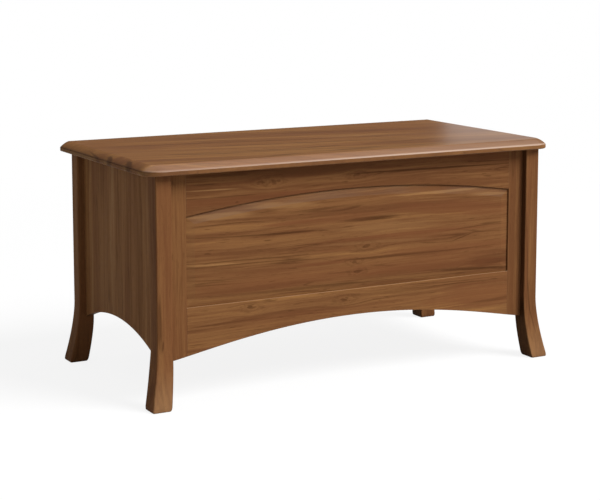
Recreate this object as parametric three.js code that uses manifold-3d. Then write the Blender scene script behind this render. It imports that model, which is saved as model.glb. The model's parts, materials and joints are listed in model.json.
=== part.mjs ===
// A frame-and-panel blanket chest in walnut: four posts that sweep out into flared feet, a framed
// front with an arched raised panel, solid side boards and back, a bottom on cleats, and a hinged
// lid with a bevelled edge.
// Millimetres. X runs along the front, -Y is the front and +Z is up. The origin is on the floor
// under the middle of the chest.

import * as THREE from "three";
import { mergeVertices, toCreasedNormals } from "three/addons/utils/BufferGeometryUtils.js";
import Module from "manifold-3d";

// Whole chest
const overallHeight = 559;
const caseWidth = 1052.4; // across the outer faces of the posts
const caseDepth = 520.8;

// Posts: upright square stock whose two outer faces sweep out to the foot
const postSize = 38.6;
const postEasing = 3;
const flareHeight = 152;
const flareReach = 22.5; // how far the outer faces stand out at the floor
const flarePower = 1.57;
const hollowHeight = 112;
const hollowReach = 12.5; // how far the inner faces move out at the floor
const hollowPower = 1.5;
const footEasing = 2.6; // how far the foot's edges tuck in at the sole
const footEasingHeight = 9;

// Joinery shared by the walls of the case
const glueLine = 0.1;
const grooveWidth = 6.4;
const grooveDepth = 8;
const grooveSetback = 4; // from a board's outer face to the near side of its groove or tongue
const tongueSideClearance = 0.2;
const tongueEndClearance = 0.5;
const tongueShoulder = 12;
const insideStep = 3.4; // how far the posts stand into the chest past the front and the sides

// Front frame. Its lower edge arches from post to post, and its top rail over the panel.
const frameThickness = 20;
const stileWidth = 42;
const topRailEndWidth = 100.4; // at the stiles
const archRise = 35.5;
const bottomRailMiddleWidth = 62.6;
const openingEasing = 1.3;
const frontApronPeak = 162.4; // height of the lower edge in the middle
const frontApronEnd = 105; // and where it meets the posts

// Raised panel
const fieldSetback = 1.2; // from the frame's face to the flat field
const fieldBevel = 21;
const panelSlack = 0.5; // room in the groove for the panel to move

// Side boards
const sideThickness = 18;
const sideApronPeak = 158.8;
const sideApronEnd = 102; // at the front post
const sidePeakSetback = 20; // how far the peak of the lower edge lies behind the middle

// Back, bottom and cleats
const backThickness = 19;
const backLift = 1.6; // from the higher apron's peak to the lower edges of the back and the cleats
const cleatSize = 18;
const bottomThickness = 12;
const bottomClearance = 0.3;

// Lid
const lidSideOverhang = 28.15;
const lidFrontOverhang = 18;
const lidRearOverhang = 2.5;
const lidCornerRadius = 42;
const lidBand = 10.3; // upright part of the edge, below the bevel
const lidBevelWidth = 22.5;
const lidBevelRise = 13.5;
const lidBevelSwell = 1.3;
const lidArris = 1.6;
const lidSeat = 0.3; // between the lid and the case

// Butt hinges
const hingeInset = 127.6; // from a post's inner face to the middle of the nearest hinge
const hingeLength = 64;
const leafWidth = 20;
const leafThickness = 2;
const barrelRadius = 3.5;
const barrelClearance = 0.3;
const pinRadius = 1.7;
const pinClearance = 0.2;
const pinHeadReach = 1.2;
const leafSeat = 0.1;

// Cutting
const overrun = 4; // how far cutters run past what they cut

// Shares and counts
const footLevelShares = [0, 0.08, 0.35, 1];
const apronNearShare = 0.46; // handles of the front apron's curve
const apronFarShare = 0.8;
const apronFarRiseShare = 0.277;
const barrelsPerHinge = 5;
const flareSteps = 12;
const cornerDivisions = 2;
const lidCornerDivisions = 7;
const lidEdgeDivisions = 5;
const easingSteps = 4;
const archDivisions = 12;
const apronDivisions = 20;
const pinSides = 16;
const barrelSides = 24;
const creaseAngle = THREE.MathUtils.degToRad(25);

// Places that several pieces share
const lidThickness = lidBand + lidBevelRise;
const lidUnderside = overallHeight - lidThickness;
const caseTop = lidUnderside - lidSeat;
const innerHalfWidth = caseWidth / 2 - postSize; // to the posts' inner faces
const innerHalfDepth = caseDepth / 2 - postSize;
const openingHalfWidth = innerHalfWidth - stileWidth;
const sillHeight = frontApronPeak + bottomRailMiddleWidth;
const springHeight = caseTop - topRailEndWidth; // where the arched top of the opening starts
const frontRecess = postSize - insideStep - frameThickness; // from the posts' outer faces
const sideRecess = postSize - insideStep - sideThickness;
const frontFace = caseDepth / 2 - frontRecess;
const sideFace = caseWidth / 2 - sideRecess;
const frontInside = frontFace - frameThickness;
const sideInside = sideFace - sideThickness;
const backInside = caseDepth / 2 - backThickness;
const backLowerEdge = Math.max(frontApronPeak, sideApronPeak) + backLift;
const tongueFoot = backLowerEdge + tongueShoulder;
const tongueHead = caseTop - tongueShoulder;
const railTenonFoot = frontApronEnd + tongueShoulder;
const openingMiddle = (sillHeight + springHeight) / 2;
const tongueReach = grooveDepth - tongueEndClearance;
const tongueFace = -(grooveSetback + tongueSideClearance);
const tongueBack = -(grooveSetback + grooveWidth - tongueSideClearance);
const cleatTop = backLowerEdge + cleatSize;
const hingeAxisY = caseDepth / 2 + lidRearOverhang + barrelClearance + barrelRadius;
const hingeAxisZ = (caseTop + lidUnderside) / 2;
const outerHingeX = innerHalfWidth - hingeInset;
const hingePlaces = [-outerHingeX, 0, outerHingeX];
const leafEdge = -barrelRadius - barrelClearance; // from the pin's middle to the leaves' rear edges
const bedFront = hingeAxisY + leafEdge - leafWidth - leafSeat;
const bedHalfLength = hingeLength / 2 + leafSeat;
const bedDepth = leafThickness + leafSeat;

// Finishes
const walnutFront = { color: 0x7f5634, roughness: 0.42, metalness: 0 };
const walnutSide = { color: 0x74502f, roughness: 0.45, metalness: 0 };
const walnutLid = { color: 0x856044, roughness: 0.36, metalness: 0 };
const walnutInside = { color: 0x8a6646, roughness: 0.6, metalness: 0 };
const brass = { color: 0xb08d4c, roughness: 0.35, metalness: 1 };

const wasm = await Module();
wasm.setup();

// Solids

function toSolid(geometry) {
  const bare = geometry.clone();
  bare.deleteAttribute("normal");
  bare.deleteAttribute("uv");
  const merged = mergeVertices(bare);
  return new wasm.Manifold(
    new wasm.Mesh({
      numProp: 3,
      vertProperties: merged.attributes.position.array,
      triVerts: new Uint32Array(merged.index.array),
    }),
  );
}

function toGeometry(solid) {
  const mesh = solid.getMesh();
  const geometry = new THREE.BufferGeometry();
  geometry.setAttribute("position", new THREE.BufferAttribute(mesh.vertProperties, 3));
  geometry.setIndex(new THREE.BufferAttribute(mesh.triVerts, 1));
  return geometry;
}

function cut(blank, ...cutters) {
  return toGeometry(cutters.reduce((rest, cutter) => rest.subtract(toSolid(cutter)), toSolid(blank)));
}

function join(...pieces) {
  return toGeometry(pieces.map(toSolid).reduce((whole, next) => whole.add(next)));
}

function common(blank, other) {
  return toGeometry(toSolid(blank).intersect(toSolid(other)));
}

// A block between any two opposite corners, each given as [x, y, z].
function block(...corners) {
  const box = new THREE.Box3().setFromPoints(corners.map((corner) => new THREE.Vector3(...corner)));
  const size = box.getSize(new THREE.Vector3());
  const centre = box.getCenter(new THREE.Vector3());
  return new THREE.BoxGeometry(size.x, size.y, size.z).translate(centre.x, centre.y, centre.z);
}

// A board whose outline is drawn on its outer face, with its thickness behind that face.
function board(shape, thickness) {
  const settings = { depth: thickness, bevelEnabled: false, curveSegments: apronDivisions };
  return new THREE.ExtrudeGeometry(shape, settings).translate(0, 0, -thickness);
}

// Sections of equal point count, listed from the lowest, joined into one closed solid.
function loft(sections) {
  const count = sections[0].outline.length;
  const last = (sections.length - 1) * count;
  const corners = sections.flatMap(({ outline, level }) => outline.flatMap((p) => [p.x, p.y, level]));
  const faces = [];
  for (let start = 0; start < last; start += count) {
    for (let i = 0; i < count; i++) {
      const here = start + i;
      const next = start + ((i + 1) % count);
      faces.push(here, next, next + count, here, next + count, here + count);
    }
  }
  for (const [a, b, c] of THREE.ShapeUtils.triangulateShape(sections[0].outline, [])) faces.push(c, b, a);
  for (const [a, b, c] of THREE.ShapeUtils.triangulateShape(sections.at(-1).outline, [])) {
    faces.push(last + a, last + b, last + c);
  }
  const geometry = new THREE.BufferGeometry();
  geometry.setAttribute("position", new THREE.Float32BufferAttribute(corners, 3));
  geometry.setIndex(faces);
  return geometry;
}

// A counter-clockwise outline with each edge moved outward along its normal and met again at the
// corners. Edge i runs from point i to the next, and distanceOf(i) says how far it moves.
function moveEdges(outline, distanceOf) {
  const count = outline.length;
  const normals = outline.map((point, i) => {
    const next = outline[(i + 1) % count];
    return new THREE.Vector2(next.y - point.y, point.x - next.x).normalize();
  });
  return outline.map((point, i) => {
    const before = (i + count - 1) % count;
    const [m, n] = [normals[before], normals[i]];
    const [a, b] = [distanceOf(before), distanceOf(i)];
    const turn = m.cross(n);
    return new THREE.Vector2(point.x + (a * n.y - b * m.y) / turn, point.y + (b * m.x - a * n.x) / turn);
  });
}

function grow(outline, distance) {
  return moveEdges(outline, () => distance);
}

// Posts

function postSection() {
  const reach = postSize / 2 - postEasing;
  const section = new THREE.Shape();
  section.absarc(reach, reach, postEasing, 0, Math.PI / 2, false);
  section.absarc(-reach, reach, postEasing, Math.PI / 2, Math.PI, false);
  section.absarc(-reach, -reach, postEasing, Math.PI, 1.5 * Math.PI, false);
  section.absarc(reach, -reach, postEasing, 1.5 * Math.PI, 2 * Math.PI, false);
  return section.getPoints(cornerDivisions);
}

function postLevels() {
  const foot = footLevelShares.map((share) => share * footEasingHeight);
  const flare = Array.from({ length: flareSteps }, (_, i) => (flareHeight * (i + 1)) / flareSteps);
  return [...foot, ...flare.filter((level) => level > footEasingHeight), caseTop];
}

// How far a face stands out at a level: it sweeps from nothing at the top of the curve to its
// full reach at the floor.
function sweep(level, height, reach, power) {
  return reach * Math.max(0, 1 - level / height) ** power;
}

// The post's section at a level. The inner faces move out less than the outer ones, so the foot
// is thicker than the post.
function sectionAt(level, sideX, sideY) {
  const outward = sweep(level, flareHeight, flareReach, flarePower);
  const inward = sweep(level, hollowHeight, hollowReach, hollowPower);
  const depth = Math.max(0, 1 - level / footEasingHeight);
  const tuck = footEasing * (1 - Math.sqrt(1 - depth ** 2));
  const scale = 1 - (2 * tuck) / postSize;
  const moved = (along, side) => {
    const acrossShare = (along * scale * side) / postSize + 1 / 2;
    return along * scale + side * THREE.MathUtils.lerp(inward, outward, acrossShare);
  };
  return postSection().map((p) => new THREE.Vector2(moved(p.x, sideX), moved(p.y, sideY)));
}

// Opposite corners of the groove that takes the tongue of a wall along X. side is the end of the
// wall that the post stands at, outward the way the wall's outer face looks, and faceSetback how
// far that face lies inside the post's.
function postGroove(side, outward, faceSetback) {
  const mouth = -side * (postSize / 2 + overrun);
  const end = -side * (postSize / 2 - grooveDepth);
  const near = outward * (postSize / 2 - faceSetback - grooveSetback);
  const far = near - outward * grooveWidth;
  const foot = tongueFoot - tongueEndClearance;
  const head = tongueHead + tongueEndClearance;
  return [[mouth, near, foot], [end, far, head]];
}

// A post takes the front or the back, whose face lies faceSetback inside the post's, and a side.
function post(sideX, sideY, faceSetback) {
  const sections = postLevels().map((level) => ({ level, outline: sectionAt(level, sideX, sideY) }));
  const wideWall = postGroove(sideX, sideY, faceSetback);
  const sideWall = postGroove(sideY, sideX, sideRecess).map(([x, y, z]) => [y, x, z]);
  return cut(loft(sections), block(...wideWall), block(...sideWall));
}

// Walls. In a wall's own frame X runs along it, Y is up and Z points outward.

// The tongue on a board's left (-1) or right (1) edge.
function tongue(side, edge, low, high) {
  return block([side * (edge - overrun), low, tongueFace], [side * (edge + tongueReach), high, tongueBack]);
}

function withTongues(blank, halfWidth) {
  return join(
    blank,
    tongue(-1, halfWidth, tongueFoot, tongueHead),
    tongue(1, halfWidth, tongueFoot, tongueHead),
  );
}

// Front frame

function openingOutline() {
  const radius = (openingHalfWidth ** 2 + archRise ** 2) / (2 * archRise);
  const centre = springHeight + archRise - radius;
  const halfAngle = Math.asin(openingHalfWidth / radius);
  const outline = new THREE.Shape();
  outline.moveTo(-openingHalfWidth, sillHeight);
  outline.lineTo(openingHalfWidth, sillHeight);
  outline.absarc(0, centre, radius, Math.PI / 2 - halfAngle, Math.PI / 2 + halfAngle, false);
  return outline.getPoints(archDivisions);
}

function frameShape() {
  const half = innerHalfWidth - glueLine;
  const rise = frontApronPeak - frontApronEnd;
  const farHeight = frontApronEnd + apronFarRiseShare * rise;
  const shape = new THREE.Shape();
  shape.moveTo(-half, caseTop);
  shape.lineTo(-half, frontApronEnd);
  shape.bezierCurveTo(
    -apronFarShare * half, farHeight, -apronNearShare * half, frontApronPeak, 0, frontApronPeak,
  );
  shape.bezierCurveTo(
    apronNearShare * half, frontApronPeak, apronFarShare * half, farHeight, half, frontApronEnd,
  );
  shape.lineTo(half, caseTop);
  return shape;
}

// The opening's cutter, which also rounds the opening's front edge.
function openingCutter(outline) {
  const easing = Array.from({ length: easingSteps + 1 }, (_, i) => {
    const angle = ((i / easingSteps) * Math.PI) / 2;
    const distance = openingEasing * (1 - Math.cos(angle));
    return { level: -openingEasing * (1 - Math.sin(angle)), outline: grow(outline, distance) };
  });
  return loft([
    { level: -frameThickness - overrun, outline },
    ...easing,
    { level: overrun, outline: grow(outline, openingEasing) },
  ]);
}

function grooveCutter(outline) {
  const far = { level: -grooveSetback - grooveWidth, outline: grow(outline, grooveDepth) };
  const near = { level: -grooveSetback, outline: grow(outline, grooveDepth) };
  return loft([far, near]);
}

// The frame is shaped as one, so its curves run on across the joints, and is then parted.
function frameBlank() {
  return cut(board(frameShape(), frameThickness), openingCutter(openingOutline()));
}

function stile(side) {
  const region = block(
    [side * openingHalfWidth, 0, -frameThickness - overrun],
    [side * (innerHalfWidth + overrun), overallHeight, overrun],
  );
  const groove = block(
    [side * (openingHalfWidth - overrun), railTenonFoot - tongueEndClearance, -grooveSetback],
    [side * (openingHalfWidth + grooveDepth), overallHeight, -grooveSetback - grooveWidth],
  );
  const grooved = cut(common(frameBlank(), region), groove);
  return join(grooved, tongue(side, innerHalfWidth - glueLine, tongueFoot, tongueHead));
}

// A rail between two heights, with stub tenons that stand in the stiles' grooves.
function rail(low, high, tenonLow, tenonHigh) {
  const half = openingHalfWidth - glueLine;
  const region = block([-half, low, -frameThickness - overrun], [half, high, overrun]);
  const grooved = cut(common(frameBlank(), region), grooveCutter(openingOutline()));
  return join(
    grooved,
    tongue(-1, openingHalfWidth, tenonLow, tenonHigh),
    tongue(1, openingHalfWidth, tenonLow, tenonHigh),
  );
}

function topRail() {
  return rail(openingMiddle, overallHeight, springHeight + grooveDepth + tongueShoulder, caseTop);
}

function bottomRail() {
  return rail(0, openingMiddle, railTenonFoot, sillHeight - grooveDepth - tongueShoulder);
}

// The panel floats in the frame: a tongue all round, then a bevel that rises to the flat field.
function raisedPanel() {
  const opening = openingOutline();
  const tongueOutline = grow(opening, grooveDepth - panelSlack);
  return loft([
    { level: tongueBack, outline: tongueOutline },
    { level: tongueFace, outline: tongueOutline },
    { level: tongueFace, outline: opening },
    { level: -fieldSetback, outline: grow(opening, -fieldBevel) },
  ]);
}

// Side boards and back

// The lower edge is one arc from post to post. along is 1 where the wall's X runs to the rear.
function sideBoard(along) {
  const half = innerHalfDepth - glueLine;
  const peakX = along * sidePeakSetback;
  const rise = sideApronPeak - sideApronEnd;
  const longReach = half + sidePeakSetback;
  const radius = (longReach ** 2 + rise ** 2) / (2 * rise);
  const angleAt = (x) => Math.acos((x - peakX) / radius);
  const shape = new THREE.Shape();
  shape.absarc(peakX, sideApronPeak - radius, radius, angleAt(-half), angleAt(half), true);
  shape.lineTo(half, caseTop);
  shape.lineTo(-half, caseTop);
  return withTongues(board(shape, sideThickness), half);
}

function backBoard() {
  const half = innerHalfWidth - glueLine;
  const blank = block([-half, backLowerEdge, -backThickness], [half, caseTop, 0]);
  const reach = caseDepth / 2;
  const mortises = hingePlaces.map((x) =>
    block(
      [x - bedHalfLength, caseTop - bedDepth, bedFront - reach],
      [x + bedHalfLength, caseTop + overrun, overrun],
    ),
  );
  return cut(withTongues(blank, half), ...mortises);
}

// Bottom and cleats

function bottomBoard() {
  const half = sideInside - bottomClearance;
  const blank = block(
    [-half, bottomClearance - frontInside, 0],
    [half, backInside - bottomClearance, bottomThickness],
  );
  const notchX = innerHalfWidth - bottomClearance;
  const notchY = innerHalfDepth - bottomClearance;
  const notches = [[-1, -1], [1, -1], [-1, 1], [1, 1]].map(([sideX, sideY]) =>
    block(
      [sideX * notchX, sideY * notchY, -overrun],
      [sideX * caseWidth, sideY * caseDepth, bottomThickness + overrun],
    ),
  );
  return cut(blank, ...notches);
}

// Lid

// Points from the front left corner round to the rear; the last edge but one is the rear one.
function lidOutline() {
  const half = caseWidth / 2 + lidSideOverhang;
  const front = -caseDepth / 2 - lidFrontOverhang;
  const rear = caseDepth / 2 + lidRearOverhang;
  const inner = half - lidCornerRadius;
  const shape = new THREE.Shape();
  shape.absarc(-inner, front + lidCornerRadius, lidCornerRadius, Math.PI, 1.5 * Math.PI, false);
  shape.absarc(inner, front + lidCornerRadius, lidCornerRadius, 1.5 * Math.PI, 2 * Math.PI, false);
  shape.lineTo(half, rear);
  shape.lineTo(-half, rear);
  return shape.getPoints(lidCornerDivisions);
}

// The moulded edge from the underside up: X is how far in from the outline, Y the height.
function lidEdge() {
  const slope = Math.hypot(lidBevelWidth, lidBevelRise);
  const edge = new THREE.Path();
  edge.moveTo(lidArris, 0);
  edge.lineTo(0, lidArris);
  edge.lineTo(0, lidBand - lidArris);
  const start = new THREE.Vector2(lidBevelWidth, lidBevelRise).multiplyScalar(lidArris / slope);
  start.y += lidBand;
  edge.quadraticCurveTo(0, lidBand, start.x, start.y);
  const swell = new THREE.Vector2(-lidBevelRise, lidBevelWidth).multiplyScalar((2 * lidBevelSwell) / slope);
  const middle = new THREE.Vector2(lidBevelWidth, lidThickness).add(start).divideScalar(2).add(swell);
  edge.quadraticCurveTo(middle.x, middle.y, lidBevelWidth, lidThickness);
  return edge.getPoints(lidEdgeDivisions);
}

function lidBoard() {
  const outline = lidOutline();
  const rearEdge = outline.length - 2;
  const sections = lidEdge().map((p) => ({
    level: p.y,
    outline: moveEdges(outline, (edge) => (edge === rearEdge ? 0 : -p.x)),
  }));
  const mortises = hingePlaces.map((x) =>
    block([x - bedHalfLength, bedFront, -overrun], [x + bedHalfLength, hingeAxisY, bedDepth]),
  );
  return cut(loft(sections), ...mortises);
}

// Hinges. A hinge's origin is the middle of its pin, with X along the pin.

function rod(radius, length, sides) {
  return new THREE.CylinderGeometry(radius, radius, length, sides).rotateZ(Math.PI / 2);
}

// side is -1 for the leaf on the case, below the joint, and 1 for the one on the lid.
function hingeLeaf(side) {
  const inner = side * (lidSeat / 2);
  const outer = side * (lidSeat / 2 + leafThickness);
  const half = hingeLength / 2;
  const pitch = hingeLength / barrelsPerHinge;
  const barrelLength = pitch - barrelClearance;
  const pieces = [block([-half, leafEdge - leafWidth, inner], [half, leafEdge, outer])];
  for (let i = side < 0 ? 0 : 1; i < barrelsPerHinge; i += 2) {
    const start = i * pitch + barrelClearance / 2 - half;
    const barrel = rod(barrelRadius, barrelLength, barrelSides);
    pieces.push(barrel.translate(start + barrelLength / 2, 0, 0));
    pieces.push(block([start, leafEdge - barrelRadius, inner], [start + barrelLength, 0, outer]));
  }
  return cut(join(...pieces), rod(pinRadius + pinClearance, hingeLength + overrun, pinSides));
}

// The pin has a small domed end at each side of the hinge.
function hingePin() {
  const half = hingeLength / 2;
  const profile = new THREE.Path();
  profile.moveTo(0, -half - pinHeadReach);
  profile.quadraticCurveTo(barrelRadius, -half - pinHeadReach, barrelRadius, -half - barrelClearance);
  profile.lineTo(pinRadius, -half - barrelClearance);
  profile.lineTo(pinRadius, half + barrelClearance);
  profile.lineTo(barrelRadius, half + barrelClearance);
  profile.quadraticCurveTo(barrelRadius, half + pinHeadReach, 0, half + pinHeadReach);
  return new THREE.LatheGeometry(profile.getPoints(cornerDivisions), pinSides).rotateZ(Math.PI / 2);
}

// Assembly

const chest = new THREE.Group();

// A wall's group: turned to face outward, with its origin on the floor line of its outer face.
function wall(turn, reach) {
  const group = new THREE.Group();
  group.rotation.set(Math.PI / 2, 0, turn, "ZYX");
  group.position.set(Math.sin(turn) * reach, -Math.cos(turn) * reach, 0);
  chest.add(group);
  return group;
}

function add(group, name, geometry, finish, x = 0, y = 0, z = 0) {
  const smooth = toCreasedNormals(geometry, creaseAngle);
  const mesh = new THREE.Mesh(smooth, new THREE.MeshStandardMaterial(finish));
  mesh.name = name;
  mesh.position.set(x, y, z);
  group.add(mesh);
}

const postX = caseWidth / 2 - postSize / 2;
const postY = caseDepth / 2 - postSize / 2;
add(chest, "post_front_left", post(-1, -1, frontRecess), walnutFront, -postX, -postY);
add(chest, "post_front_right", post(1, -1, frontRecess), walnutFront, postX, -postY);
add(chest, "post_rear_left", post(-1, 1, 0), walnutSide, -postX, postY);
add(chest, "post_rear_right", post(1, 1, 0), walnutSide, postX, postY);

const front = wall(0, frontFace);
add(front, "front_top_rail", topRail(), walnutFront);
add(front, "front_bottom_rail", bottomRail(), walnutFront);
add(front, "front_stile_left", stile(-1), walnutFront);
add(front, "front_stile_right", stile(1), walnutFront);
add(front, "front_panel", raisedPanel(), walnutFront);

add(wall(-Math.PI / 2, sideFace), "side_board_left", sideBoard(-1), walnutSide);
add(wall(Math.PI / 2, sideFace), "side_board_right", sideBoard(1), walnutSide);
add(wall(Math.PI, caseDepth / 2), "back_board", backBoard(), walnutSide);

// The cleats run round the inside below the bottom: the long ones from post to post, the short
// ones between them.
const longCleat = new THREE.BoxGeometry(2 * (innerHalfWidth - bottomClearance), cleatSize, cleatSize);
const frontCleatY = -(frontInside - glueLine - cleatSize / 2);
const backCleatY = backInside - glueLine - cleatSize / 2;
const cleatZ = cleatTop - cleatSize / 2;
const shortFrom = frontCleatY + cleatSize / 2 + bottomClearance;
const shortTo = Math.min(backCleatY - cleatSize / 2, innerHalfDepth) - bottomClearance;
const shortCleat = new THREE.BoxGeometry(cleatSize, shortTo - shortFrom, cleatSize);
const shortCleatX = sideInside - glueLine - cleatSize / 2;
const shortCleatY = (shortFrom + shortTo) / 2;
add(chest, "cleat_front", longCleat, walnutInside, 0, frontCleatY, cleatZ);
add(chest, "cleat_back", longCleat, walnutInside, 0, backCleatY, cleatZ);
add(chest, "cleat_left", shortCleat, walnutInside, -shortCleatX, shortCleatY, cleatZ);
add(chest, "cleat_right", shortCleat, walnutInside, shortCleatX, shortCleatY, cleatZ);
add(chest, "bottom_board", bottomBoard(), walnutInside, 0, 0, cleatTop + glueLine);

// The lid turns about the hinge pins, so its group stands on their axis.
const lid = new THREE.Group();
lid.position.set(0, hingeAxisY, hingeAxisZ);
chest.add(lid);
add(lid, "lid_board", lidBoard(), walnutLid, 0, -hingeAxisY, lidUnderside - hingeAxisZ);

const hingeNames = ["left", "middle", "right"];
hingeNames.forEach((name, i) => {
  const x = hingePlaces[i];
  add(chest, `hinge_${name}_case_leaf`, hingeLeaf(-1), brass, x, hingeAxisY, hingeAxisZ);
  add(chest, `hinge_${name}_pin`, hingePin(), brass, x, hingeAxisY, hingeAxisZ);
  add(lid, `hinge_${name}_lid_leaf`, hingeLeaf(1), brass, x, 0, 0);
});

export default chest;
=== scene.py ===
"""The look of the walnut blanket chest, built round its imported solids. Metres, in the chest's own
frame: X along the front, -Y the front, +Z up."""

import json
import math

import bmesh
import bpy
from mathutils import Matrix, Vector


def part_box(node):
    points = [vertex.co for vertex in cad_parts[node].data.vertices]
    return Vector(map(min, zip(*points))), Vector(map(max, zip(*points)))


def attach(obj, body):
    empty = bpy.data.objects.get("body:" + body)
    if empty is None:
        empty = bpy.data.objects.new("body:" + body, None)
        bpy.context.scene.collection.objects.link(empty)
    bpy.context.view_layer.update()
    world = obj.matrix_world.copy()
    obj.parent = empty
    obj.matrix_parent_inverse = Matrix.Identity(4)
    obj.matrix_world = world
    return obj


# Camera, fitted to the photograph's 600 x 500 frame
CAMERA_PLACE = (-1.9498, -3.5238, 1.0374)
CAMERA_TURN = 28.654  # degrees to the right of straight ahead
CAMERA_TILT = 7.70  # degrees down
CAMERA_LENS = 97.11
CAMERA_SENSOR = 36.0
CAMERA_SHIFT = (0.0033, -0.14)
CAMERA_REACH = 100.0

# Studio: one softbox lights the whole chest, the other only the polish at the lid's far end
KEY_AIM = (0.0, 0.0, 0.3)
KEY_DIRECTION = (0.45, -0.56, 0.69)
KEY_DISTANCE = 16.0
KEY_SIZE = 9.0
KEY_POWER = 3300.0
SHEEN_PLACE = (1.262, 0.934, 0.71)
SHEEN_AIM = (0.50, -0.12, 0.559)
SHEEN_SIZE = (0.36, 0.20)
SHEEN_POWER = 0.29
ROOM_LIGHT = 0.30
ROOM_MIRRORED = 0.03  # what polish reflects between the backdrop and the overhead light
BACKDROP_STEP = (0.05, 0.0)  # heights of the direction between which the backdrop begins
OVERHEAD_STEP = (0.60, 0.78)  # heights of the direction between which the overhead light begins
FLOOR_SIZE = 60.0
FLOOR_PALE = 0.50  # what lights the chest from below
FLOOR_SHADE = 0.13  # what a shadow can take from the floor that is seen
FLOOR_GLOW = 0.87
FLOOR_STEP = (1.5, 3.4)  # distances from the middle between which the floor turns pure white

# Walnut's shades, as sRGB
WALNUT_DARK = "#4a2d19"
WALNUT_BROWN = "#6b452a"
WALNUT_MIDDLE = "#7f5735"
WALNUT_LIGHT = "#94693e"
WALNUT_RED = "#71452b"
WALNUT_PALE = "#9b7248"
WALNUT_END = "#4e2f1b"
WALNUT_WORN_AND_LIT = "#a98560"  # worn arrises; and painted light on the feet's fronts and on the ledge under the panel
WALNUT_PAINTED_HIGHLIGHT = "#c1a692"  # painted highlight along the lid's front arris
WALNUT_PAINTED_SHEEN = "#6a5c53"  # painted sheen on the panel's upper bevel, which faces up
WALNUT_SHADE_UNDER = "#120702"  # painted shade on the feet's inner faces, under the chest
LID_BROWN = "#764b29"
LID_MIDDLE = "#895a32"
LID_LIGHT = "#9c6d3d"
LID_END = "#80603e"
LID_BAND = "#684b36"
LID_BEVEL = "#7b5b45"
SIDE_BROWN = "#78502f"
SIDE_MIDDLE = "#8c623c"
SIDE_LIGHT = "#9c734c"

WOOD_GLOSS = 0.015  # of the bare wood under the polish
CASE_SHINE_ROUGHNESS = 0.28
LID_SHINE = 0.95
LID_SHINE_ROUGHNESS = 0.36
ARRIS_RADIUS = 0.0016
FOOT_FLARE = 0.0225  # how far a foot stands out in front of its post

BRASS = "#cfab62"
BRASS_DULL = "#a58449"
BRASS_WORN = "#e2c98f"

# The figure's marks on the front: shade, x, z, half length, half width, slope and strength. On the
# posts, whose grain runs upright, the length runs upright too.
PANEL_MARKS = (
    ("dark", -0.365, 0.3810, 0.085, 0.0016, -0.04, 0.45),
    ("dark", -0.205, 0.3765, 0.095, 0.0026, -0.01, 0.75),
    ("red", -0.160, 0.4000, 0.080, 0.0040, 0.03, 0.60),
    ("dark", -0.300, 0.3225, 0.165, 0.0015, -0.015, 0.55),
    ("dark", -0.290, 0.3135, 0.160, 0.0014, -0.012, 0.50),
    ("pale", -0.390, 0.3190, 0.070, 0.0018, -0.03, 0.60),
    ("red", -0.070, 0.2960, 0.075, 0.0040, 0.02, 0.50),
    ("red", -0.060, 0.3237, 0.055, 0.0030, 0.0, 0.40),
    ("dark", -0.382, 0.2712, 0.058, 0.0014, -0.03, 0.55),
    ("dark", -0.140, 0.2405, 0.130, 0.0035, 0.0, 0.45),
    ("dark", 0.030, 0.3932, 0.080, 0.0050, 0.0, 0.80),
    ("red", 0.130, 0.3465, 0.200, 0.0040, 0.0, 0.60),
    ("dark", 0.330, 0.3475, 0.070, 0.0016, 0.05, 0.40),
    ("dark", 0.100, 0.2960, 0.150, 0.0026, -0.01, 0.60),
    ("dark", 0.330, 0.2958, 0.110, 0.0018, 0.01, 0.50),
    ("dark", 0.310, 0.3250, 0.034, 0.0013, 0.26, 0.55),
    ("dark", 0.396, 0.3530, 0.030, 0.0030, 0.0, 0.40),
    ("dark", 0.205, 0.3193, 0.024, 0.0012, -0.08, 0.45),
    ("dark", 0.330, 0.2420, 0.120, 0.0035, -0.06, 0.65),
    ("dark", 0.190, 0.2950, 0.110, 0.0055, -0.01, 0.38),
    ("dark", 0.240, 0.4020, 0.170, 0.0150, -0.06, 0.24),
    ("red", 0.290, 0.4000, 0.190, 0.0170, -0.08, 0.60),
    ("red", 0.280, 0.3000, 0.200, 0.0110, -0.02, 0.35),
    ("red", -0.030, 0.3990, 0.110, 0.0090, 0.03, 0.40),
    ("red", 0.400, 0.2540, 0.070, 0.0100, 0.0, 0.55),
    ("dark", 0.405, 0.2610, 0.090, 0.0130, 0.02, 0.60),
    ("red", -0.200, 0.2640, 0.220, 0.0180, 0.0, 0.35),
    ("red", 0.230, 0.2660, 0.220, 0.0180, 0.0, 0.45),
    ("red", 0.090, 0.2620, 0.090, 0.0030, -0.02, 0.40),
    ("pale", -0.350, 0.4290, 0.075, 0.0080, 0.0, 0.50),
    ("pale", -0.200, 0.4420, 0.080, 0.0070, -0.02, 0.50),
    ("pale", 0.240, 0.4425, 0.110, 0.0035, 0.012, 0.60),
    ("pale", 0.392, 0.4270, 0.050, 0.0045, -0.04, 0.50),
    ("pale", 0.090, 0.3690, 0.130, 0.0110, -0.02, 0.30),
    ("pale", 0.050, 0.3340, 0.140, 0.0040, -0.03, 0.25),
)
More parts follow.
